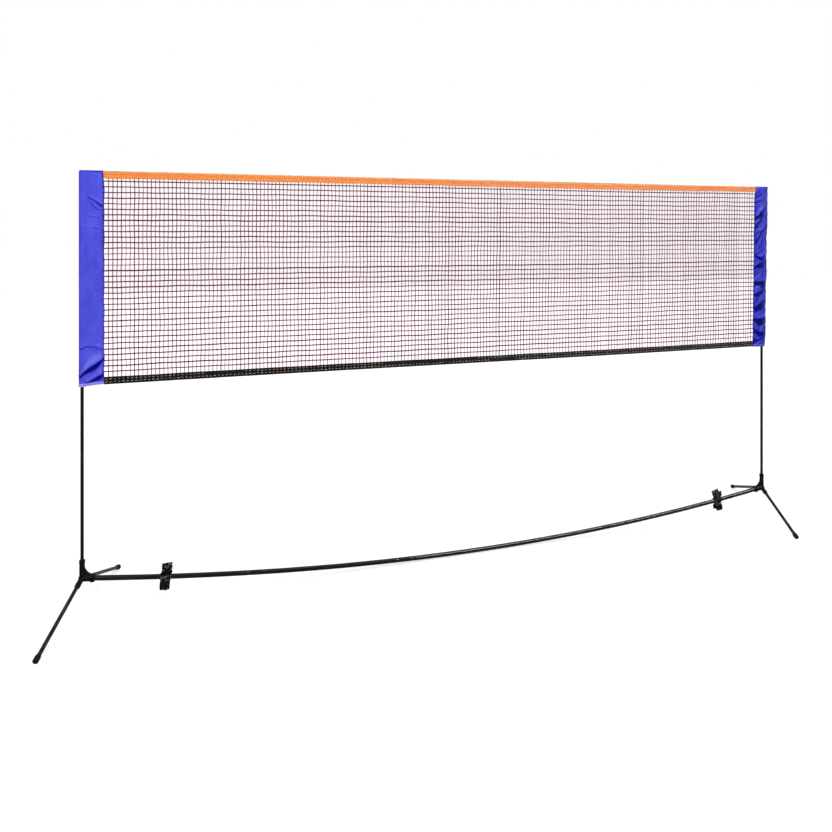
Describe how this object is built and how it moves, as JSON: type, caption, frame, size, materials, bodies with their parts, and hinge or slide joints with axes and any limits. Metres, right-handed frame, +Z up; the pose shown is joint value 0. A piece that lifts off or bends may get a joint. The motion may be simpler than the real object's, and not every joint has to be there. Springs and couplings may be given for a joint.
{
  "type": "badminton net post",
  "caption": "Free-standing badminton net on slim posts, with plug-in splayed legs, a bowed sectional base pole and storage clips.",
  "frame": {"origin": "on the floor, midway between the two posts, at the centre of the footprint", "axes": "+X along the net from the left post to the right post, +Y away from the viewer in the picture, +Z up"},
  "size_m": [3.157, 0.5968, 1.55],
  "materials": {
    "bracket_plastic": "satin moulded black plastic",
    "pole_tube": "satin black powder coat with a soft lengthwise sheen",
    "post_tube": "satin black powder coat",
    "leg_tube": "satin black powder coat, slightly olive where the light grazes it",
    "spigot_steel": "plain drawn steel",
    "foot_rubber": "matt black rubber",
    "clip_plastic": "satin moulded black plastic",
    "tip_plastic": "satin moulded black plastic",
    "sleeve_cloth": "satin blue polyester cloth with hems and soft folds",
    "top_tape_cloth": "bright orange polyester tape with a fine weave",
    "bottom_tape_cloth": "olive black webbing with rows of light stitches",
    "cord_fibre": "pale twisted cord inside the tape",
    "net_yarn": "dark maroon knotted yarn"
  },
  "bodies": {
    "base": {"corner_bracket_left": "bracket_plastic", "corner_bracket_right": "bracket_plastic", "base_pole_1": "pole_tube", "base_pole_2": "pole_tube", "base_pole_3": "pole_tube", "base_pole_4": "pole_tube", "base_pole_5": "pole_tube", "base_pole_spigot_1": "spigot_steel", "base_pole_spigot_2": "spigot_steel", "base_pole_spigot_3": "spigot_steel", "base_pole_spigot_4": "spigot_steel"},
    "post_left": {"post_lower_left": "post_tube", "post_upper_left": "post_tube", "post_spigot_left": "spigot_steel", "post_tip_left": "tip_plastic"},
    "post_right": {"post_lower_right": "post_tube", "post_upper_right": "post_tube", "post_spigot_right": "spigot_steel", "post_tip_right": "tip_plastic"},
    "net": {"side_sleeve_left": "sleeve_cloth", "side_sleeve_right": "sleeve_cloth", "top_tape": "top_tape_cloth", "bottom_tape": "bottom_tape_cloth", "top_cord": "cord_fibre", "net_mesh": "net_yarn"},
    "leg_front_left": {"leg_front_left": "leg_tube", "foot_cap_front_left": "foot_rubber"},
    "leg_rear_left": {"leg_rear_left": "leg_tube", "foot_cap_rear_left": "foot_rubber"},
    "leg_front_right": {"leg_front_right": "leg_tube", "foot_cap_front_right": "foot_rubber"},
    "leg_rear_right": {"leg_rear_right": "leg_tube", "foot_cap_rear_right": "foot_rubber"},
    "clip_left": {"storage_clip_left": "clip_plastic"},
    "clip_right": {"storage_clip_right": "clip_plastic"}
  },
  "joints": [
    {"name": "post_left_lift", "type": "slide", "parent": "base", "child": "post_left", "axis": [0, 0, 1], "range_m": [0, 0.055]},
    {"name": "post_right_lift", "type": "slide", "parent": "base", "child": "post_right", "axis": [0, 0, 1], "range_m": [0, 0.055]},
    {"name": "net_lift", "type": "slide", "parent": "post_left", "child": "net", "axis": [0, 0, 1], "range_m": [0, 0.77]},
    {"name": "leg_front_left_pull", "type": "slide", "parent": "base", "child": "leg_front_left", "axis": [-0.2761, -0.9029, -0.3294], "range_m": [0, 0.035]},
    {"name": "leg_rear_left_pull", "type": "slide", "parent": "base", "child": "leg_rear_left", "axis": [0.2761, 0.9029, -0.3294], "range_m": [0, 0.035]},
    {"name": "leg_front_right_pull", "type": "slide", "parent": "base", "child": "leg_front_right", "axis": [-0.2761, -0.9029, -0.3294], "range_m": [0, 0.035]},
    {"name": "leg_rear_right_pull", "type": "slide", "parent": "base", "child": "leg_rear_right", "axis": [0.2761, 0.9029, -0.3294], "range_m": [0, 0.035]},
    {"name": "clip_left_turn", "type": "hinge", "parent": "base", "child": "clip_left", "pos_m": [-1.202, 0, 0.07951], "axis": [0.9938, 0, -0.1115], "continuous": true},
    {"name": "clip_right_turn", "type": "hinge", "parent": "base", "child": "clip_right", "pos_m": [1.224, 0, 0.082], "axis": [0.9935, 0, 0.1135], "continuous": true}
  ],
  "couplings": [
    {"joint": "post_right_lift", "follows": "post_left_lift", "ratio": 1}
  ]
}
